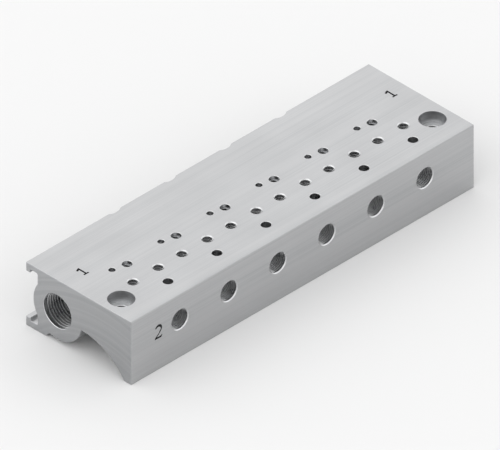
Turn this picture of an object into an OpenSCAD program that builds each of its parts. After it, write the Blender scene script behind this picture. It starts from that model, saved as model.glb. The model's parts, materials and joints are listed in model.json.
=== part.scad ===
// Manifold plate for a row of pneumatic valves: one extruded aluminium bar, milled, drilled and tapped.
// X runs along the bar, Y from the outlet face to the rail side, Z up.
// The origin is the middle of the footprint, on the surface that the bar stands on.

/* [Stations] */
// Number of valve stations along the bar
station_count = 6; // [2:1:10]
// Distance from one station to the next
station_pitch = 27; // [25:0.5:36]
// Distance from an end face to the nearest station
end_margin = 27; // [25:0.5:40]

/* [Bar section] */
// Width of the bar, from the outlet face to the rail side
bar_w = 58; // [56:0.5:66]
// Height of the bar
bar_h = 30; // [29:0.5:34]
// Width of the foot under the outlet face
front_foot_w = 4; // [3:0.25:6]
// Height of the arched channel in the underside, at its crown
channel_h = 12.35; // [10:0.05:13]
// Width of the foot under the rail side
rear_foot_w = 10.7; // [9:0.1:12.5]

/* [Rail groove] */
// Depth of the groove in the rail side
groove_depth = 6.3; // [5:0.1:7.5]
// Thickness of the lip over the groove
top_lip_t = 2.6; // [2:0.1:4]
// Height of the top lip's outer edge, down to the end of its hook
top_hook_h = 4.15; // [3:0.05:5.5]
// Thickness of the top lip's hook
top_hook_t = 2.2; // [1.5:0.1:3]
// Thickness of the lip under the groove
bottom_lip_t = 3.1; // [2.5:0.1:4.5]
// Height of the bottom lip's outer edge, up to the end of its hook
bottom_hook_h = 4.4; // [3.6:0.1:6]
// Thickness of the bottom lip's hook at its end
bottom_hook_t = 2.4; // [1.6:0.1:3]
// How much thicker the bottom lip's hook is at its root
bottom_hook_draft = 0.4; // [0:0.1:0.8]
// Radius in the corner between the groove's wall and the top lip
groove_corner_r = 0.7; // [0.2:0.1:1.2]

/* [Supply gallery] */
// Distance of the gallery's axis from the rail side
gallery_inset = 17.35; // [16.5:0.05:18.5]
// Height of the gallery's axis
gallery_z = 15; // [14:0.1:15.6]
// Radius of the round wall around the gallery
gallery_wall_r = 13.3; // [12:0.1:13.8]
// Diameter of the gallery between its threaded ends
gallery_d = 14; // [9:0.5:14.5]
// Core diameter of the supply thread in each end face
supply_core_d = 15.25; // [14.75:0.05:16.5]
// Diameter of the supply thread's mouth, at the end face
supply_mouth_d = 15.6; // [15.3:0.05:17]
// Depth of the supply thread's bore
supply_depth = 14; // [11:0.5:20]

/* [Outlets] */
// Distance of the outlet axes below the top face
outlet_drop = 12.05; // [10.5:0.05:13]
// Core diameter of the outlet thread
outlet_core_d = 8.8; // [8.2:0.1:9.4]
// Diameter of the outlet thread's mouth, at the outlet face
outlet_mouth_d = 9.6; // [9.4:0.1:10.4]
// Depth of the outlet bore, without its drill point
outlet_depth = 13; // [12.5:0.25:15]

/* [Valve connections] */
// Distance of the supply hole from the outlet face
supply_hole_y = 29.2; // [28:0.1:31]
// Diameter of the supply hole's mouth
supply_hole_d = 4.2; // [4:0.1:5]
// Depth of the supply hole's mouth, down to its slanted drilling
supply_hole_depth = 2; // [1:0.25:3.5]
// Diameter of the slanted drilling from the supply hole to the gallery
slant_d = 3; // [2:0.1:3.2]
// Distance of the outlet hole from the outlet face
outlet_hole_y = 9.65; // [8:0.05:10.3]
// Offset of the outlet hole along the bar, from its station
outlet_hole_shift = 3; // [1:0.25:4]
// Diameter of the outlet hole
outlet_hole_d = 4.2; // [3:0.1:5]
// Distance of the locating hole from the outlet face
locating_hole_y = 30.55; // [28:0.05:33]
// Offset of the locating hole along the bar, from its station
locating_hole_shift = 7; // [6:0.25:9]
// Diameter of the locating hole
locating_hole_d = 2.8; // [2:0.1:3.4]
// Depth of the locating hole, without its drill point
locating_hole_depth = 4; // [2:0.25:6]
// Distance between the two screw holes of a station
screw_spacing = 14; // [13:0.25:17]
// Distance of the screw holes from the outlet face
screw_y = 19; // [17.75:0.25:22]
// Core diameter of the screw thread
screw_core_d = 4.2; // [3.8:0.1:4.5]
// Diameter of the screw thread's mouth, at the top face
screw_mouth_d = 5; // [4.6:0.1:5.4]
// Depth of the screw holes, without their drill points
screw_depth = 9; // [6:0.5:11]

/* [Fixing holes] */
// Distance of the fixing holes from the end faces
fixing_inset = 8.75; // [7.5:0.25:12]
// Distance of the fixing holes from the outlet face
fixing_y = 14.15; // [12:0.05:17]
// Diameter of the fixing holes
fixing_d = 6.4; // [5.4:0.1:7]
// Diameter of the counterbores for the screw heads
counterbore_d = 11; // [9.5:0.1:12]
// Depth of the counterbores
counterbore_depth = 5.5; // [4:0.25:7]

/* [Lip notches] */
// Distance from one notch in the top lip to the next
notch_pitch = 30.5; // [20:0.5:34]
// Diameter of the cutter that mills the notches
notch_d = 11; // [8:0.5:14]
// Depth of the notches, measured into the bar
notch_bite = 1.2; // [0.6:0.1:2]

/* [Hidden] */
$fn = 96;

// Every cutter runs this far past the faces that it opens into
overcut = 1;
// Full angle of a drill's point
point_angle = 118;
// Segments in the groove's corner radius
corner_steps = 5;

bar_l = (station_count - 1) * station_pitch + 2 * end_margin;
groove_y = bar_w - groove_depth;
gallery_y = bar_w - gallery_inset;
// The channel's crown lies below the foremost line of the gallery's wall
crown_y = gallery_y - gallery_wall_r;
half_span = crown_y - front_foot_w;
channel_r = (pow(half_span, 2) + pow(channel_h, 2)) / (2 * channel_h);
// One notch fewer than the gaps between stations, centred on the bar
notch_count = max(0, station_count - 2);

// Points on an arc, both ends included
function arc_points(centre, r, from, to, steps) =
    [for (i = [0:steps]) centre + r * [cos(from + (to - from) * i / steps),
                                       sin(from + (to - from) * i / steps)]];

// Section of the bar: across from the outlet face, and up from its base
module bar_section() {
    difference() {
        square([bar_w, bar_h]);
        channel_section();
        groove_section();
    }
    translate([gallery_y, gallery_z]) circle(r = gallery_wall_r);
}

// Arched channel in the underside, up to the sloping web of the rear foot
module channel_section() {
    rear_foot_y = bar_w - rear_foot_w;
    intersection() {
        translate([crown_y, channel_h - channel_r]) circle(r = channel_r);
        translate([0, -overcut]) square([gallery_y, bar_h]);
    }
    polygon([[crown_y, -overcut],
             [gallery_y, rear_foot_y - gallery_y],
             [rear_foot_y + overcut, -overcut]]);
}

// Groove in the rail side, between the hooks of the two lips
module groove_section() {
    lip_z = bar_h - top_lip_t;
    corner = [groove_y + groove_corner_r, lip_z - groove_corner_r];
    polygon(concat(
        [[bar_w + overcut, bar_h - top_hook_h],
         [bar_w - top_hook_t, bar_h - top_hook_h],
         [bar_w - top_hook_t, lip_z]],
        arc_points(corner, groove_corner_r, 90, 180, corner_steps),
        [[groove_y, bottom_lip_t],
         [bar_w - bottom_hook_t - bottom_hook_draft, bottom_lip_t],
         [bar_w - bottom_hook_t, bottom_hook_h],
         [bar_w + overcut, bottom_hook_h]]));
}

// Blind drilled hole that runs down from the origin, with a drill point
module drilled_hole(d, depth) {
    translate([0, 0, -depth]) {
        cylinder(d = d, h = depth + overcut);
        point_h = d / 2 / tan(point_angle / 2);
        translate([0, 0, -point_h]) cylinder(d1 = 0, d2 = d, h = point_h);
    }
}

// Countersink of 90 degrees that opens a bore of diameter d to its mouth at the origin
module countersink(d, mouth_d) {
    sink = (mouth_d - d) / 2;
    translate([0, 0, -sink]) cylinder(d1 = d, d2 = mouth_d + 2 * overcut, h = sink + overcut);
}

// Blind bore for a thread, with its countersunk mouth at the origin
module tapped_hole(core_d, mouth_d, depth) {
    drilled_hole(core_d, depth);
    countersink(core_d, mouth_d);
}

// Gallery from end to end, with the bore for a supply thread in each end face
module supply_gallery() {
    translate([0, gallery_y, gallery_z]) {
        rotate([0, 90, 0]) cylinder(d = gallery_d, h = bar_l);
        rotate([0, -90, 0]) supply_port();
        translate([bar_l, 0, 0]) rotate([0, 90, 0]) supply_port();
    }
}

// Bore for a supply thread, running down from its mouth at the origin
module supply_port() {
    translate([0, 0, -supply_depth]) cylinder(d = supply_core_d, h = supply_depth + overcut);
    countersink(supply_core_d, supply_mouth_d);
}

// Supply hole of a station: an upright mouth, then a slanted drilling to the gallery's axis
module supply_hole() {
    run = gallery_y - supply_hole_y;
    fall = bar_h - supply_hole_depth - gallery_z;
    slant = atan(run / fall);
    // The drilling starts inside the mouth, where its flat end just clears the mouth's floor
    start = slant_d / 2 * tan(slant);
    translate([0, supply_hole_y, -supply_hole_depth]) {
        cylinder(d = supply_hole_d, h = supply_hole_depth + overcut);
        rotate([slant + 180, 0, 0]) translate([0, 0, -start])
            cylinder(d = slant_d, h = norm([run, fall]) + start);
    }
}

// Outlet of a station: the threaded bore in the outlet face and the hole that meets it from above
module outlet() {
    translate([0, 0, -outlet_drop]) rotate([90, 0, 0])
        tapped_hole(outlet_core_d, outlet_mouth_d, outlet_depth);
    translate([outlet_hole_shift, outlet_hole_y, -outlet_drop])
        cylinder(d = outlet_hole_d, h = outlet_drop + overcut);
}

// The two threaded holes that hold a station's valve
module valve_screw_holes() {
    for (side = [-1, 1])
        translate([side * screw_spacing / 2, screw_y, 0])
            tapped_hole(screw_core_d, screw_mouth_d, screw_depth);
}

// Blind hole that locates a station's valve the right way round
module locating_hole() {
    translate([-locating_hole_shift, locating_hole_y, 0])
        drilled_hole(locating_hole_d, locating_hole_depth);
}

// Everything that is machined for one station, from the outlet face's top edge
module station() {
    supply_hole();
    outlet();
    valve_screw_holes();
    locating_hole();
}

// Counterbored fixing holes near the ends, through to the channel
module fixing_holes() {
    for (x = [fixing_inset, bar_l - fixing_inset])
        translate([x, fixing_y, -overcut]) {
            cylinder(d = fixing_d, h = bar_h + 2 * overcut);
            translate([0, 0, overcut + bar_h - counterbore_depth])
                cylinder(d = counterbore_d, h = counterbore_depth + overcut);
        }
}

// Shallow round notches in the top lip's outer edge
module lip_notches() {
    first_x = bar_l / 2 - (notch_count - 1) / 2 * notch_pitch;
    for (i = [0:1:notch_count - 1])
        translate([first_x + i * notch_pitch, bar_w + notch_d / 2 - notch_bite,
                   bar_h - top_hook_h - overcut])
            cylinder(d = notch_d, h = top_hook_h + 2 * overcut);
}

module manifold_plate() {
    color([0.86, 0.87, 0.88])
        translate([-bar_l / 2, -bar_w / 2, 0])
            difference() {
                rotate([90, 0, 90]) linear_extrude(height = bar_l) bar_section();
                supply_gallery();
                for (i = [0:station_count - 1])
                    translate([end_margin + i * station_pitch, 0, bar_h]) station();
                fixing_holes();
                lip_notches();
            }
}

manifold_plate();
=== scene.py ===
"""Looks of the manifold plate, a drawn aluminium bar: its threads, broken edges, finishes and port numbers.

Lengths are in millimetres until the mesh is finished, and X, Y and Z are the frame's own axes.
"""
import json
import math
from typing import NamedTuple

import bmesh
import bpy
from mathutils import Matrix, Vector


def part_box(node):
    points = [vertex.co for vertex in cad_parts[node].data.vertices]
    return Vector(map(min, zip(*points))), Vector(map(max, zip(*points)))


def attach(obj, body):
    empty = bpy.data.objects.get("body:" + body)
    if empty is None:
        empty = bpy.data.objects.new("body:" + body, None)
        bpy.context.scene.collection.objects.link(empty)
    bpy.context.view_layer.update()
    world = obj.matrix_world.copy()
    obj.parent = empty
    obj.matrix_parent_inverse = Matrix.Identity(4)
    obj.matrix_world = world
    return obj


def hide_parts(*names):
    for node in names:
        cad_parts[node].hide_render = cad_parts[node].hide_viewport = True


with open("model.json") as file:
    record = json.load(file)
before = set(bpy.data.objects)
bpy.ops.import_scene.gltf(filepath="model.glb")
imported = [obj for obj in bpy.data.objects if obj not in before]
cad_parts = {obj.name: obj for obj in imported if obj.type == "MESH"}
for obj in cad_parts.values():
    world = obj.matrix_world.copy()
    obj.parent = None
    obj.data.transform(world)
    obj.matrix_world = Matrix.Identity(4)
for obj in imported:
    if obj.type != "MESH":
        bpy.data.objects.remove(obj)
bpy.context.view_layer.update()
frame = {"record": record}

MM = 0.001
MICRON = 0.000001
NODE = "manifold_plate"
MOUNTS = {mount["name"]: mount for mount in frame["record"]["mounts"]}

# The bar, from the frame's box
LOW, HIGH = (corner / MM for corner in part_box(NODE))
BAR_L, BAR_W, BAR_H = HIGH - LOW
HALF_L = BAR_L / 2
FRONT = LOW.y
REAR = HIGH.y

# The bar's section, across from the outlet face and up from the base
FRONT_FOOT_W = 4.0
REAR_FOOT_W = 10.7
CHANNEL_H = 12.35
GROOVE_DEPTH = 6.3
TOP_LIP_T = 2.6
TOP_HOOK_H = 4.15
TOP_HOOK_T = 2.2
BOTTOM_LIP_T = 3.1
BOTTOM_HOOK_H = 4.4
BOTTOM_HOOK_T = 2.4
BOTTOM_HOOK_DRAFT = 0.4
GROOVE_CORNER_R = 0.7
GALLERY_WALL_R = 13.3
# A side of the section wider than this is flat, and a narrower one is a facet of something round
WIDEST_FACET = 0.8
# Radius that the die leaves on the section's corners, and the break on the edges of the end faces
DIE_R = 0.25
END_BREAK = 0.2

# The supply gallery, and how far its cutter runs into the ports' cutters at both ends
GALLERY_Y, GALLERY_Z = (v / MM for v in MOUNTS["supply_left"]["pos_m"][1:])
GALLERY_R = 7.0
GALLERY_OVERLAP = 0.5

# A station's holes in the top face, with Y from the outlet face and the shift along the bar
SUPPLY_HOLE_Y = 29.2
SUPPLY_HOLE_R = 2.1
SUPPLY_HOLE_DEPTH = 2.0
SLANT_R = 1.5
OUTLET_HOLE_Y = 9.65
OUTLET_HOLE_SHIFT = 3.0
OUTLET_HOLE_R = 2.1
OUTLET_HOLE_DEPTH = 12.05
LOCATING_HOLE_Y = 30.55
LOCATING_HOLE_SHIFT = -7.0
LOCATING_HOLE_R = 1.4
LOCATING_HOLE_DEPTH = 4.0

# Counterbores of the fixing holes
COUNTERBORE_R = 5.5
COUNTERBORE_DEPTH = 5.5

# What all the drilled holes share: the drill's point, and the break on the mouth of a plain hole
POINT_ANGLE = math.radians(118)
MOUTH_BREAK = 0.15
# Every cutter runs this far past the face that it opens into
OVERCUT = 1.0

# Notches in the top lip's outer edge
NOTCH_COUNT = 4
NOTCH_PITCH = 30.5
NOTCH_R = 5.5
NOTCH_BITE = 1.2

# Port numbers: the middle of each 1 from the left end and the outlet face, and the middle of the 2 from the
# left end and down from the top face
ENGRAVING_DEPTH = 0.2
ONE_PLACES = ((11.05, 38.05), (180.9, 37.8))
TWO_PLACE = (14.95, 12.0)

# Material slots of the piece
EXTRUDED, MILLED, BORED_ALONG, BORED_ACROSS, BORED_DOWN, COUNTERBORED, FACED, PAINT = range(8)
# Until the cuts are made, a face that is to be shaded flat has its slot's twin, this many slots further on
FLAT = 8
# Edges that turn by more than this stay sharp
SHARP_ANGLE = math.radians(28)

# Segments of a full turn
FINE, MEDIUM, COARSE = 96, 64, 48


class Tapped(NamedTuple):
    """A kind of threaded hole: its thread, its bore and how finely its cutter is made."""

    pitch: float
    major_r: float
    # Angle between a flank and the plane across the hole, in degrees
    flank_angle: float
    # Width of the flat root, as a share of the pitch
    root_share: float
    # Length from the mouth in which the thread grows to its full height
    lead_in: float
    mouth_r: float
    depth: float
    thread_depth: float
    segments: int
    wall: int
    pointed: bool = True


# Supply ports G3/8, outlet ports G1/8 and screw holes M5
SUPPLY_PORT = Tapped(pitch=1.337, major_r=8.331, flank_angle=27.5, root_share=0.16, lead_in=1.3,
                     mouth_r=7.8, depth=14.0, thread_depth=13.0, segments=FINE, wall=BORED_ALONG,
                     pointed=False)
OUTLET_PORT = Tapped(pitch=0.907, major_r=4.864, flank_angle=27.5, root_share=0.16, lead_in=0.6,
                     mouth_r=4.8, depth=13.0, thread_depth=10.5, segments=MEDIUM, wall=BORED_ACROSS)
SCREW_HOLE = Tapped(pitch=0.8, major_r=2.5, flank_angle=30, root_share=0.125, lead_in=0.5,
                    mouth_r=2.5, depth=9.0, thread_depth=8.0, segments=COARSE, wall=BORED_DOWN)
# Turns in which a thread fades out at its lower end
RUN_OUT_TURNS = 1.5


def arc(centre, radius, start, end, step=3.0):
    """Points on an arc from one angle to another, in degrees, both ends included."""
    count = max(2, math.ceil(abs(end - start) / step))
    angles = (math.radians(start + (end - start) * i / count) for i in range(count + 1))
    return [(centre[0] + radius * math.cos(a), centre[1] + radius * math.sin(a)) for a in angles]


def angle_at(centre, point):
    """Angle of a point as seen from a centre, in degrees from 0 to 360."""
    return math.degrees(math.atan2(point[1] - centre[1], point[0] - centre[0])) % 360


def circles_cross(a, ra, b, rb):
    """The crossing of two circles that lies to the left of the way from centre a to centre b."""
    gap = math.dist(a, b)
    along = (ra ** 2 - rb ** 2 + gap ** 2) / (2 * gap)
    off = math.sqrt(ra ** 2 - along ** 2)
    way = ((b[0] - a[0]) / gap, (b[1] - a[1]) / gap)
    return (a[0] + along * way[0] - off * way[1], a[1] + along * way[1] + off * way[0])


def section_outline():
    """Outline of the bar's section as (y, z), anticlockwise, from the outlet face's lower edge."""
    gallery = (BAR_W - (REAR - GALLERY_Y), GALLERY_Z)
    crown_y = gallery[0] - GALLERY_WALL_R
    half_span = crown_y - FRONT_FOOT_W
    channel_r = (half_span ** 2 + CHANNEL_H ** 2) / (2 * CHANNEL_H)
    channel = (crown_y, CHANNEL_H - channel_r)
    channel_start = angle_at(channel, (FRONT_FOOT_W, 0))
    cusp = circles_cross(channel, channel_r, gallery, GALLERY_WALL_R)

    # The rear foot's web slopes at 45 degrees, down from the gallery's wall
    foot_y = BAR_W - REAR_FOOT_W
    off = (gallery[0] + gallery[1] - foot_y) / math.sqrt(2)
    web_angle = 225 + math.degrees(math.acos(off / GALLERY_WALL_R))
    groove_y = BAR_W - GROOVE_DEPTH
    bulge_angle = math.degrees(math.acos((groove_y - gallery[0]) / GALLERY_WALL_R))
    lip_z = BAR_H - TOP_LIP_T
    corner = (groove_y + GROOVE_CORNER_R, lip_z - GROOVE_CORNER_R)

    outline = [(0, 0), (FRONT_FOOT_W, 0)]
    outline += arc(channel, channel_r, channel_start, angle_at(channel, cusp), 1.5)[1:-1]
    outline += arc(gallery, GALLERY_WALL_R, angle_at(gallery, cusp), web_angle)
    outline += [(foot_y, 0), (BAR_W, 0), (BAR_W, BOTTOM_HOOK_H), (BAR_W - BOTTOM_HOOK_T, BOTTOM_HOOK_H),
                (BAR_W - BOTTOM_HOOK_T - BOTTOM_HOOK_DRAFT, BOTTOM_LIP_T), (groove_y, BOTTOM_LIP_T)]
    outline += arc(gallery, GALLERY_WALL_R, -bulge_angle, bulge_angle)
    outline += arc(corner, GROOVE_CORNER_R, 180, 90, 15)
    outline += [(BAR_W - TOP_HOOK_T, lip_z), (BAR_W - TOP_HOOK_T, BAR_H - TOP_HOOK_H),
                (BAR_W, BAR_H - TOP_HOOK_H), (BAR_W, BAR_H), (0, BAR_H)]
    return outline


def directions(points, i):
    """Unit directions into and out of a point of a closed outline."""
    before, here, after = (Vector(points[k % len(points)]) for k in (i - 1, i, i + 1))
    return (here - before).normalized(), (after - here).normalized()


def round_corners(points, radius, sharper_than=25, steps=4):
    """The outline with an arc in place of each corner that turns by more than an angle, in degrees."""
    rounded = []
    for i, point in enumerate(points):
        before, after = directions(points, i)
        turn = before.angle_signed(after)
        degrees = math.degrees(turn)
        if abs(degrees) < sharper_than:
            rounded.append(tuple(point))
            continue
        reach = radius * math.tan(abs(turn) / 2)
        start = Vector(point) - before * reach
        # A signed angle is positive clockwise, so at an outer corner of the outline it is below 0
        side = 1 if turn < 0 else -1
        centre = start + side * radius * Vector((-before.y, before.x))
        first = angle_at(centre, start)
        # A hundredth of a degree over an even share, so that rounding adds no facet
        facet = abs(degrees) / steps + 0.01
        rounded += arc(centre, radius, first, first - degrees, facet)
    return rounded


def inset(points, distance):
    """The outline moved inwards by a distance."""
    moved = []
    for i, point in enumerate(points):
        before, after = directions(points, i)
        inwards = Vector((-before.y, before.x))
        normal = (inwards + Vector((-after.y, after.x))).normalized()
        # A sharp corner moves by no more than twice the distance
        share = max(0.5, normal.dot(inwards))
        moved.append(tuple(Vector(point) + normal * distance / share))
    return moved


def bar():
    """The drawn bar, cut to length, with a small break round both ends."""
    outline = round_corners(section_outline(), DIE_R)
    broken = inset(outline, END_BREAK)
    mesh = bmesh.new()
    rings = []
    for x, points in ((-HALF_L, broken), (END_BREAK - HALF_L, outline),
                      (HALF_L - END_BREAK, outline), (HALF_L, broken)):
        rings.append([mesh.verts.new((x, FRONT + y, z)) for y, z in points])
    for k, (near, far) in enumerate(zip(rings, rings[1:])):
        along_the_bar = k == 1
        for i in range(len(near)):
            face = mesh.faces.new((near[i - 1], near[i], far[i], far[i - 1]))
            flat = not along_the_bar or (near[i].co - near[i - 1].co).length > WIDEST_FACET
            face.material_index = (EXTRUDED if along_the_bar else MILLED) + flat * FLAT
    for ring in (rings[0], rings[-1][::-1]):
        cap(mesh, ring, MILLED)
    bmesh.ops.recalc_face_normals(mesh, faces=mesh.faces)
    return mesh


def ring_of(mesh, place, radius, z, count):
    """A ring of vertices round the local Z axis."""
    turns = (2 * math.pi * j / count for j in range(count))
    return [mesh.verts.new(place @ Vector((radius * math.cos(a), radius * math.sin(a), z))) for a in turns]


def skin(mesh, lower, upper, slot):
    """Faces between two rings of one count."""
    for j in range(len(lower)):
        face = mesh.faces.new((lower[j - 1], lower[j], upper[j], upper[j - 1]))
        face.material_index = slot


def cap(mesh, ring, slot):
    """One flat face on a ring, with the slot's twin."""
    face = mesh.faces.new(ring)
    face.material_index = slot + FLAT


def tip(mesh, place, ring, z, slot):
    """A cone from a ring to a point on the axis."""
    point = mesh.verts.new(place @ Vector((0, 0, z)))
    for j in range(len(ring)):
        face = mesh.faces.new((point, ring[j], ring[j - 1]))
        face.material_index = slot


def turned(mesh, place, profile, count, wall, floor=None):
    """A closed turned cutter, whose profile runs upwards as (radius, z).

    It starts in a point where the first radius is 0, or else in a flat floor. The floor has the wall's slot
    unless it is given one of its own.
    """
    pointed = profile[0][0] == 0
    rings = [ring_of(mesh, place, r, z, count) for r, z in profile[pointed:]]
    for lower, upper in zip(rings, rings[1:]):
        skin(mesh, lower, upper, wall)
    if pointed:
        tip(mesh, place, rings[0], profile[0][1], wall)
    else:
        cap(mesh, rings[0][::-1], wall if floor is None else floor)
    cap(mesh, rings[-1], wall)


def point_length(radius):
    """Length of the cone at the end of a drill."""
    return radius / math.tan(POINT_ANGLE / 2)


def plain_hole(mesh, place, radius, depth, count, pointed=True, wall=BORED_DOWN, floor=None):
    """The cutter of a plain hole down from its mouth at the local origin, with a break on the mouth."""
    start = [(0, -depth - point_length(radius))] if pointed else []
    turned(mesh, place, start + [(radius, -depth), (radius, -MOUTH_BREAK),
                                 (radius + MOUTH_BREAK + OVERCUT, OVERCUT)], count, wall, floor)


def smooth_step(t):
    """A share that starts and ends gently."""
    t = min(1.0, max(0.0, t))
    return t * t * (3 - 2 * t)


def thread_columns(mesh, place, core_r, kind, sink):
    """Columns of vertices round a threaded wall, and how many points of a column belong to one turn."""
    height = kind.major_r - core_r
    flank = height * math.tan(math.radians(kind.flank_angle))
    root = kind.root_share * kind.pitch
    profile = ((0, 0), (flank, height), (flank + root, height), (2 * flank + root, 0))
    turns = math.floor((kind.thread_depth - sink) / kind.pitch) - 1
    bottom = -sink - (turns + 1) * kind.pitch
    run_out = RUN_OUT_TURNS * kind.pitch
    columns = []
    for j in range(kind.segments):
        around = j / kind.segments
        turn = 2 * math.pi * around
        column = []
        for i in range(len(profile) * turns + 1):
            along, out = profile[i % len(profile)]
            z = bottom + kind.pitch * (i // len(profile) + around) + along
            grown = smooth_step((-sink - z) / kind.lead_in) * smooth_step((z - bottom) / run_out)
            r = core_r + out * grown
            column.append(mesh.verts.new(place @ Vector((r * math.cos(turn), r * math.sin(turn), z))))
        columns.append(column)
    return columns, len(profile)


def threaded_faces(columns, turn, base, top):
    """Corners of the faces of a threaded wall between a ring below it and a ring above it."""
    faces = []
    for j in range(1, len(columns)):
        left, right = columns[j - 1], columns[j]
        faces += [(left[i], right[i], right[i + 1], left[i + 1]) for i in range(len(left) - 1)]
        faces.append((base[j - 1], base[j], right[0], left[0]))
        faces.append((left[-1], right[-1], top[j], top[j - 1]))
    # The last column meets the first one a turn further along
    left, right = columns[-1], columns[0]
    shared = len(left) - 1 - turn
    faces += [(left[i], right[i + turn], right[i + turn + 1], left[i + 1]) for i in range(shared)]
    faces.append((base[-1], base[0], *right[:turn + 1], left[0]))
    faces.append((right[-1], top[0], top[-1], *left[:-turn - 2:-1]))
    return faces


def threaded_hole(mesh, place, core_r, kind):
    """The cutter of a threaded hole: a bore with a right-hand helical thread and a countersunk mouth.

    It ends in a drill's point, or in a flat floor where the gallery runs on from it.
    """
    sink = kind.mouth_r - core_r
    columns, turn = thread_columns(mesh, place, core_r, kind, sink)
    base = ring_of(mesh, place, core_r, -kind.depth, kind.segments)
    top = ring_of(mesh, place, core_r, -sink, kind.segments)
    for corners in threaded_faces(columns, turn, base, top):
        face = mesh.faces.new(corners)
        face.material_index = kind.wall
    if kind.pointed:
        tip(mesh, place, base, -kind.depth - point_length(core_r), kind.wall)
    else:
        cap(mesh, base[::-1], kind.wall)
    lip = ring_of(mesh, place, kind.mouth_r + OVERCUT, OVERCUT, kind.segments)
    skin(mesh, top, lip, kind.wall)
    cap(mesh, lip, kind.wall)


def prism(mesh, place, outline, depth, slot):
    """A closed upright cutter from a depth below the local origin to above it."""
    lower = [mesh.verts.new(place @ Vector((x, y, -depth))) for x, y in outline]
    upper = [mesh.verts.new(place @ Vector((x, y, OVERCUT))) for x, y in outline]
    skin(mesh, lower, upper, slot + FLAT)
    cap(mesh, lower[::-1], slot)
    cap(mesh, upper, slot)


def ribbon(path, widths):
    """Outline of a pen stroke along a path, with a width at each point of it."""
    sides = ([], [])
    for i, point in enumerate(path):
        ahead = Vector(path[min(i + 1, len(path) - 1)]) - Vector(path[max(i - 1, 0)])
        across = Vector((-ahead.y, ahead.x)).normalized() * widths[i] / 2
        sides[0].append(tuple(Vector(point) - across))
        sides[1].append(tuple(Vector(point) + across))
    return sides[0] + sides[1][::-1]


def figure_one():
    """The strokes of a 1 about its middle, in two sets: those in a set don't meet."""
    stem = [(-0.4, -2.2), (0.45, -2.2), (0.45, 2.5), (-0.3, 2.4)]
    flag = [(-1.75, 1.65), (-1.35, 0.95), (0, 1.4), (0.1, 2.3), (-0.4, 2.35)]
    foot = [(-1.3, -2.6), (1.35, -2.6), (1.35, -1.95), (-1.3, -1.95)]
    return [stem], [flag, foot]


def figure_two():
    """The strokes of a 2 about its middle, in two sets: those in a set don't meet."""
    bowl = arc((0.1, 1.35), 1.62, 158, -28, 12)
    path = bowl + [(0.75, -0.4), (-0.3, -1.5), (-1.6, -2.6)]
    shares = [i / (len(path) - 1) for i in range(len(path))]
    widths = [0.6 + 0.5 * math.sin(math.pi * min(1, 1.25 * share)) for share in shares]
    foot = [(-2.0, -3.05), (1.7, -3.05), (2.3, -2.1), (2.0, -1.9), (1.5, -2.25), (-1.5, -2.25)]
    return [ribbon(path, widths)], [foot]


def placed(name, data):
    """A new object in the scene, for a mesh, a light or a camera."""
    made = bpy.data.objects.new(name, data)
    bpy.context.scene.collection.objects.link(made)
    return made


def cut(piece, mesh):
    """Takes a set of closed cutters that don't meet each other out of the piece."""
    bmesh.ops.recalc_face_normals(mesh, faces=mesh.faces)
    data = bpy.data.meshes.new("cutter")
    mesh.to_mesh(data)
    mesh.free()
    for material in piece.data.materials:
        data.materials.append(material)
    cutter = placed("cutter", data)
    modifier = piece.modifiers.new("cut", "BOOLEAN")
    modifier.operation = "DIFFERENCE"
    modifier.solver = "MANIFOLD"
    modifier.object = cutter
    result = bpy.data.meshes.new_from_object(piece.evaluated_get(bpy.context.evaluated_depsgraph_get()))
    piece.modifiers.clear()
    old = piece.data
    piece.data = result
    bpy.data.meshes.remove(old)
    bpy.data.objects.remove(cutter)
    bpy.data.meshes.remove(data)


def at(x, y, z, axis=(0, 0, 1)):
    """A place whose local Z runs out of a hole along an axis."""
    turn = Vector((0, 0, 1)).rotation_difference(Vector(axis))
    return Matrix.Translation((x, y, z)) @ turn.to_matrix().to_4x4()


def station_places():
    """X of each station."""
    return [mount["pos_m"][0] / MM for name, mount in MOUNTS.items() if name.startswith("outlet_")]


def fixing_places():
    """X and Y of both fixing holes."""
    mount = MOUNTS["fixing_holes"]
    return [(side * mount["dims"]["spacing_x_mm"], mount["pos_m"][1] / MM) for side in (-0.5, 0.5)]


def cut_threads(piece):
    """Cuts the threaded ports and screw holes, and with them the locating holes and the counterbores."""
    mesh = bmesh.new()
    for side, name in ((-1, "supply_left"), (1, "supply_right")):
        mount = MOUNTS[name]
        place = at(side * HALF_L, GALLERY_Y, GALLERY_Z, mount["axis"])
        threaded_hole(mesh, place, mount["dims"]["r_mm"], SUPPLY_PORT)
    for i, x in enumerate(station_places(), 1):
        outlet, screws = MOUNTS[f"outlet_{i}"], MOUNTS[f"valve_screws_{i}"]
        place = at(x, FRONT, outlet["pos_m"][2] / MM, outlet["axis"])
        threaded_hole(mesh, place, outlet["dims"]["r_mm"], OUTLET_PORT)
        for side in (-0.5, 0.5):
            place = at(x + side * screws["dims"]["spacing_x_mm"], screws["pos_m"][1] / MM, BAR_H)
            threaded_hole(mesh, place, screws["dims"]["hole_r_mm"], SCREW_HOLE)
        place = at(x + LOCATING_HOLE_SHIFT, FRONT + LOCATING_HOLE_Y, BAR_H)
        plain_hole(mesh, place, LOCATING_HOLE_R, LOCATING_HOLE_DEPTH, COARSE)
    for x, y in fixing_places():
        plain_hole(mesh, at(x, y, BAR_H), COUNTERBORE_R, COUNTERBORE_DEPTH, FINE, pointed=False,
                   wall=COUNTERBORED, floor=FACED)
    cut(piece, mesh)


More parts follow.
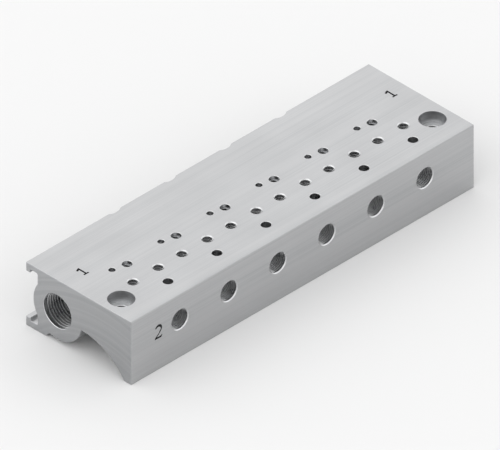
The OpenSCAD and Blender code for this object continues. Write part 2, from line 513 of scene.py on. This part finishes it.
def cut_passages(piece):
    """Cuts the gallery, the supply, outlet and fixing holes, and the notches in the top lip."""
    mesh = bmesh.new()
    reach = HALF_L - (SUPPLY_PORT.depth - GALLERY_OVERLAP)
    place = at(0, GALLERY_Y, GALLERY_Z, (1, 0, 0))
    turned(mesh, place, [(GALLERY_R, -reach), (GALLERY_R, reach)], FINE, BORED_ALONG)
    for x in station_places():
        place = at(x, FRONT + SUPPLY_HOLE_Y, BAR_H)
        # The supply hole's floor takes the milled tone, painted shade that darkens a floor which the
        # overhead light reaches
        plain_hole(mesh, place, SUPPLY_HOLE_R, SUPPLY_HOLE_DEPTH, COARSE, pointed=False, floor=MILLED)
        place = at(x + OUTLET_HOLE_SHIFT, FRONT + OUTLET_HOLE_Y, BAR_H)
        plain_hole(mesh, place, OUTLET_HOLE_R, OUTLET_HOLE_DEPTH, COARSE, pointed=False)
    bore_r = MOUNTS["fixing_holes"]["dims"]["hole_r_mm"]
    floor_z = BAR_H - COUNTERBORE_DEPTH
    for x, y in fixing_places():
        plain_hole(mesh, at(x, y, floor_z), bore_r, floor_z + OVERCUT, FINE, pointed=False)
    notch = [(NOTCH_R, BAR_H - TOP_HOOK_H - OVERCUT), (NOTCH_R, BAR_H + OVERCUT)]
    for i in range(NOTCH_COUNT):
        x = (i - (NOTCH_COUNT - 1) / 2) * NOTCH_PITCH
        turned(mesh, at(x, REAR + NOTCH_R - NOTCH_BITE, 0), notch, FINE, MILLED)
    cut(piece, mesh)


def cut_slants(piece):
    """Cuts the slanted drillings from the supply holes to the gallery's axis."""
    mesh = bmesh.new()
    for x in station_places():
        mouth = Vector((x, FRONT + SUPPLY_HOLE_Y, BAR_H - SUPPLY_HOLE_DEPTH))
        way = Vector((x, GALLERY_Y, GALLERY_Z)) - mouth
        # The cutter's end is square to the slant, and its lowest edge just reaches the supply hole's floor
        start = SLANT_R * abs(way.y) / abs(way.z)
        turned(mesh, at(*mouth, -way), [(SLANT_R, -way.length), (SLANT_R, start)], COARSE, BORED_DOWN)
    cut(piece, mesh)


def engrave_numbers(piece):
    """Cuts the port numbers: a 1 near both ends of the top face, and a 2 beside the first outlet."""
    along, down = TWO_PLACE
    upright = Matrix.Rotation(math.pi / 2, 4, "X")
    on_front = Matrix.Translation((LOW.x + along, FRONT, BAR_H - down)) @ upright
    marks = [(figure_one(), at(LOW.x + x, FRONT + y, BAR_H)) for x, y in ONE_PLACES]
    marks.append((figure_two(), on_front))
    for which in (0, 1):
        mesh = bmesh.new()
        for sets, place in marks:
            for outline in sets[which]:
                prism(mesh, place, outline, ENGRAVING_DEPTH, PAINT)
        cut(piece, mesh)


def node(tree, kind, inputs=None, **settings):
    """A shader node with its settings and unlinked or linked inputs."""
    made = tree.nodes.new(kind)
    for name, value in settings.items():
        setattr(made, name, value)
    for name, value in (inputs or {}).items():
        if isinstance(value, bpy.types.NodeSocket):
            tree.links.new(value, made.inputs[name])
        else:
            made.inputs[name].default_value = value
    return made


def blank_material(name, metallic):
    """A new material, its tree and its shader."""
    material = bpy.data.materials.new(name)
    material.use_nodes = True
    tree = material.node_tree
    shader = tree.nodes["Principled BSDF"]
    shader.inputs["Metallic"].default_value = metallic
    return material, tree, shader


def dress(tree, shader, tone, roughness, normal):
    """Links a material's colour, roughness and bump to its shader."""
    tree.links.new(tone, shader.inputs["Base Color"])
    tree.links.new(roughness, shader.inputs["Roughness"])
    tree.links.new(normal, shader.inputs["Normal"])


def object_place(tree):
    """The object's own coordinates, in metres."""
    return node(tree, "ShaderNodeTexCoord").outputs["Object"]


def stretched_noise(tree, per_metre, detail):
    """Noise over the object's own coordinates, with a number of features per metre along X, Y and Z."""
    place = object_place(tree)
    mapped = node(tree, "ShaderNodeMapping", {"Vector": place, "Scale": per_metre}).outputs["Vector"]
    noise = node(tree, "ShaderNodeTexNoise", {"Vector": mapped, "Scale": 1.0, "Detail": detail})
    return noise.outputs["Fac"]


def noise_over(tree, distance, per_metre, detail):
    """Noise over a distance alone."""
    return node(tree, "ShaderNodeTexNoise", {"W": distance, "Scale": per_metre, "Detail": detail},
                noise_dimensions="1D").outputs["Fac"]


def distance_from(tree, place, centre, across):
    """Distance in metres from an axis through a centre, where across is 1 in the directions that count."""
    flat = node(tree, "ShaderNodeVectorMath", {0: place, 1: across}, operation="MULTIPLY").outputs[0]
    return node(tree, "ShaderNodeVectorMath", {0: flat, 1: centre}, operation="DISTANCE").outputs["Value"]


def ranged(tree, value, low, high, from_low=0.3, from_high=0.7):
    """A value spread over a new range."""
    return node(tree, "ShaderNodeMapRange", {"Value": value, "From Min": from_low, "From Max": from_high,
                                             "To Min": low, "To Max": high}).outputs["Result"]


def worked_out(tree, operation, *values):
    """A sum, a product or the like of some values."""
    return node(tree, "ShaderNodeMath", dict(enumerate(values)), operation=operation).outputs[0]


def blended(tree, share, one, other):
    """Two colours blended by a share."""
    mixed = node(tree, "ShaderNodeMix", data_type="RGBA")
    # A colour mix has its two colours at sockets 6 and 7, and its result at output 2
    tree.links.new(share, mixed.inputs["Factor"])
    for socket, colour in ((6, one), (7, other)):
        if isinstance(colour, bpy.types.NodeSocket):
            tree.links.new(colour, mixed.inputs[socket])
        else:
            mixed.inputs[socket].default_value = (*colour, 1)
    return mixed.outputs[2]


def bumped(tree, height, microns, under=None):
    """A bump of the given height, over another bump if there is one."""
    inputs = {"Height": height, "Distance": microns * MICRON}
    if under:
        inputs["Normal"] = under
    return node(tree, "ShaderNodeBump", inputs).outputs["Normal"]


def extruded_aluminium():
    """Satin drawn skin: die lines along the bar in wide and fine bands, over a matt etched grain."""
    dark, bright, band = (0.42, 0.425, 0.435), (0.50, 0.505, 0.51), (0.53, 0.53, 0.535)
    material, tree, shader = blank_material("aluminium_extruded", 1.0)
    bands = stretched_noise(tree, (3, 260, 260), 2)
    lines = stretched_noise(tree, (9, 2600, 2600), 3)
    grain = stretched_noise(tree, (5200, 5200, 5200), 2)
    clouds = stretched_noise(tree, (38, 60, 60), 3)
    tone = blended(tree, ranged(tree, lines, 0, 1), dark, bright)
    tone = blended(tree, ranged(tree, bands, 0, 0.45), tone, band)
    rough = worked_out(tree, "ADD", ranged(tree, clouds, 0.36, 0.44), ranged(tree, lines, -0.035, 0.035))
    dress(tree, shader, tone, rough, bumped(tree, lines, 12, under=bumped(tree, grain, 4)))
    return material


def milled_aluminium_with_painted_shade():
    """Milled faces: the fine arcs that a cutter's teeth leave as it passes over them, on a tone that is set
    darker than the drawn skin as painted shade, so that the end faces read as a shaded side.
    """
    # Painted shade: these tones sit below the drawn skin's so that the end faces come out darker than the
    # outlet face
    dark, bright = (0.34, 0.345, 0.355), (0.41, 0.415, 0.42)
    cloud, band = (0.37, 0.38, 0.395), (0.47, 0.475, 0.48)
    # The cutter turns about an axis along X, below the bar and ahead of its middle
    cutter_axis = (0, -0.012, -0.036)
    tooth_pitch = 0.00042
    material, tree, shader = blank_material("aluminium_milled", 1.0)
    far = distance_from(tree, object_place(tree), cutter_axis, (0, 1, 1))
    wobble = stretched_noise(tree, (60, 60, 60), 2)
    turns = worked_out(tree, "MULTIPLY", far, 2 * math.pi / tooth_pitch)
    turns = worked_out(tree, "ADD", turns, ranged(tree, wobble, 0, 5))
    waves = worked_out(tree, "SINE", turns)
    grain = stretched_noise(tree, (3000, 3000, 3000), 2)
    clouds = stretched_noise(tree, (70, 70, 70), 3)
    bands = noise_over(tree, far, 520, 3)
    tone = blended(tree, ranged(tree, waves, 0, 1, -1, 1), dark, bright)
    tone = blended(tree, ranged(tree, clouds, 0, 0.35), tone, cloud)
    tone = blended(tree, ranged(tree, bands, 0, 0.5), tone, band)
    rough = worked_out(tree, "ADD", ranged(tree, clouds, 0.30, 0.38), ranged(tree, grain, -0.03, 0.03))
    dress(tree, shader, tone, rough, bumped(tree, waves, 3.5, under=bumped(tree, grain, 3)))
    return material


def bored_aluminium_with_painted_light(name, marks_per_metre):
    """Drilled and tapped walls: a smeared metal with fine tool marks round the bore's own axis, brighter
    than the drawn skin, partly as bare machined metal and partly as painted light that lifts the shaded
    bores and threads.
    """
    # Partly painted light: these tones are raised above the skin's so that walls deep in the shaded holes
    # still read
    dark, bright = (0.56, 0.565, 0.575), (0.64, 0.645, 0.65)
    material, tree, shader = blank_material(name, 1.0)
    smears = stretched_noise(tree, (260, 260, 260), 3)
    marks = stretched_noise(tree, marks_per_metre, 2)
    tone = blended(tree, ranged(tree, smears, 0, 1), dark, bright)
    dress(tree, shader, tone, ranged(tree, smears, 0.24, 0.36), bumped(tree, marks, 6))
    return material


def counterbored_aluminium():
    """Walls of the counterbores: satin, with the rings that the cutter's corners leave."""
    dark, bright = (0.40, 0.405, 0.415), (0.56, 0.565, 0.57)
    material, tree, shader = blank_material("aluminium_counterbored", 1.0)
    rings = stretched_noise(tree, (40, 40, 2200), 2)
    tone = blended(tree, ranged(tree, rings, 0, 1), dark, bright)
    dress(tree, shader, tone, ranged(tree, rings, 0.40, 0.50), bumped(tree, rings, 10))
    return material


def faced_aluminium_with_painted_light():
    """Floors of the counterbores, with the rings that the cutter leaves round each fixing hole, in a bright
    tone that is painted light: it sets the floor apart from the wall as a lit floor.
    """
    # Painted light: the floor's tone is well above the other finishes so that it reads lit against the
    # counterbore's wall
    dark, bright = (0.76, 0.765, 0.775), (0.86, 0.865, 0.87)
    material, tree, shader = blank_material("aluminium_faced", 1.0)
    # Folded over X and Y, both fixing holes come to one place
    folded = node(tree, "ShaderNodeVectorMath", {0: object_place(tree)}, operation="ABSOLUTE").outputs[0]
    centre = [abs(v) * MM for v in fixing_places()[1]]
    rings = noise_over(tree, distance_from(tree, folded, (*centre, 0), (1, 1, 0)), 4200, 2)
    tone = blended(tree, ranged(tree, rings, 0, 1), dark, bright)
    dress(tree, shader, tone, ranged(tree, rings, 0.42, 0.52), bumped(tree, rings, 20))
    return material


def number_paint():
    """Matt black fill in the engraved numbers, a little thin in places."""
    dark, bright = (0.006, 0.006, 0.007), (0.018, 0.018, 0.019)
    material, tree, shader = blank_material("number_paint", 0.0)
    shader.inputs["Specular IOR Level"].default_value = 0.15
    patches = stretched_noise(tree, (1500, 1500, 1500), 3)
    tone = blended(tree, ranged(tree, patches, 0, 1), dark, bright)
    dress(tree, shader, tone, ranged(tree, patches, 0.5, 0.65), bumped(tree, patches, 10))
    return material


def finishes():
    """The piece's materials, in the order of its slots."""
    # Tool marks per metre on a bore's wall, along the bore and round it
    along, around = 5000, 260
    return [extruded_aluminium(), milled_aluminium_with_painted_shade(),
            bored_aluminium_with_painted_light("aluminium_bored_along", (along, around, around)),
            bored_aluminium_with_painted_light("aluminium_bored_across", (around, along, around)),
            bored_aluminium_with_painted_light("aluminium_bored_down", (around, around, along)),
            counterbored_aluminium(), faced_aluminium_with_painted_light(), number_paint()]


def manifold_plate():
    """The whole piece, which stands for the CAD node."""
    data = bpy.data.meshes.new("manifold_plate_dressed")
    mesh = bar()
    mesh.to_mesh(data)
    mesh.free()
    materials = finishes()
    # The twins carry through the cuts which faces are to be shaded flat
    twins = [material.copy() for material in materials]
    for material in materials + twins:
        data.materials.append(material)
    piece = placed("manifold_plate_dressed", data)
    cut_threads(piece)
    cut_passages(piece)
    cut_slants(piece)
    engrave_numbers(piece)
    piece.data.transform(Matrix.Scale(MM, 4))
    piece.data.set_sharp_from_angle(angle=SHARP_ANGLE)
    for face in piece.data.polygons:
        face.use_smooth = face.material_index < FLAT
        face.material_index %= FLAT
    for twin in twins:
        piece.data.materials.pop()
        bpy.data.materials.remove(twin)
    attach(piece, "root")
    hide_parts(NODE)


def floor():
    """A plain pale floor without gloss, large enough to fill every view."""
    half_side = 3.0
    tone = 0.79
    corners = [(-half_side, -half_side, 0), (half_side, -half_side, 0),
               (half_side, half_side, 0), (-half_side, half_side, 0)]
    data = bpy.data.meshes.new("floor")
    data.from_pydata(corners, [], [(0, 1, 2, 3)])
    material, _, shader = blank_material("pale_floor", 0.0)
    shader.inputs["Base Color"].default_value = (tone, tone, tone, 1)
    shader.inputs["Roughness"].default_value = 1.0
    shader.inputs["Specular IOR Level"].default_value = 0.0
    data.materials.append(material)
    placed("floor", data)


def aimed(light, place):
    """Stands a light at a place in metres and aims it at the plate."""
    made = placed(light.name, light)
    made.location = place
    made.rotation_euler = (-Vector(place)).to_track_quat("-Z", "Y").to_euler()


def lights():
    """A wide soft light from above, and a softbox behind that the top face mirrors."""
    overhead = bpy.data.lights.new("overhead", "SUN")
    overhead.angle = math.radians(70)
    overhead.energy = 0.7
    aimed(overhead, (-0.4, 0.1, 1.0))
    softbox = bpy.data.lights.new("softbox", "AREA")
    softbox.shape = "RECTANGLE"
    softbox.size, softbox.size_y = 0.9, 0.4
    softbox.energy = 0.2
    aimed(softbox, (0.5, 0.75, 0.6))


def studio():
    """Pale surroundings: the floor's tone up to the horizon, brightest just above it and softer overhead."""
    # Strengths of the light, over heights from 0 on the horizon to 1 overhead
    horizon, walls, softer_by = 0.944, 1.35, 0.9
    walls_from, ceiling_from, ceiling_to = 0.2, 0.65, 0.9
    world = bpy.data.worlds.new("studio")
    world.use_nodes = True
    tree = world.node_tree
    way = node(tree, "ShaderNodeTexCoord").outputs["Generated"]
    height = node(tree, "ShaderNodeSeparateXYZ", {"Vector": way}).outputs["Z"]
    strength = worked_out(tree, "SUBTRACT", ranged(tree, height, horizon, walls, 0, walls_from),
                          ranged(tree, height, 0, softer_by, ceiling_from, ceiling_to))
    tree.links.new(strength, tree.nodes["Background"].inputs["Strength"])
    tree.nodes["Background"].inputs["Color"].default_value = (1, 1, 1, 1)
    bpy.context.scene.world = world
    bpy.context.scene.view_settings.view_transform = "Standard"


def camera():
    """The drawing is isometric, so the camera has parallel rays along the box's diagonal."""
    frame_w, frame_h = 500, 450
    pixels_per_mm = 2.566
    # Where the drawing has the bar's near top corner, in pixels from its own top left corner
    near_top_corner = Vector((131.1, 322.55))
    metres_away = 1.2
    back = Vector((-1, -1, 1)).normalized()
    right = Vector((1, -1, 0)).normalized()
    up = back.cross(right)
    off = (Vector((frame_w, frame_h)) / 2 - near_top_corner) / pixels_per_mm
    centre = Vector((LOW.x, LOW.y, HIGH.z)) + right * off.x - up * off.y
    data = bpy.data.cameras.new("camera")
    data.type = "ORTHO"
    data.ortho_scale = frame_w / pixels_per_mm * MM
    data.clip_start, data.clip_end = 0.01, 20
    seen = placed("camera", data)
    seen.location = centre * MM + back * metres_away
    seen.rotation_euler = back.to_track_quat("Z", "Y").to_euler()
    bpy.context.scene.camera = seen


manifold_plate()
floor()
lights()
studio()
camera()
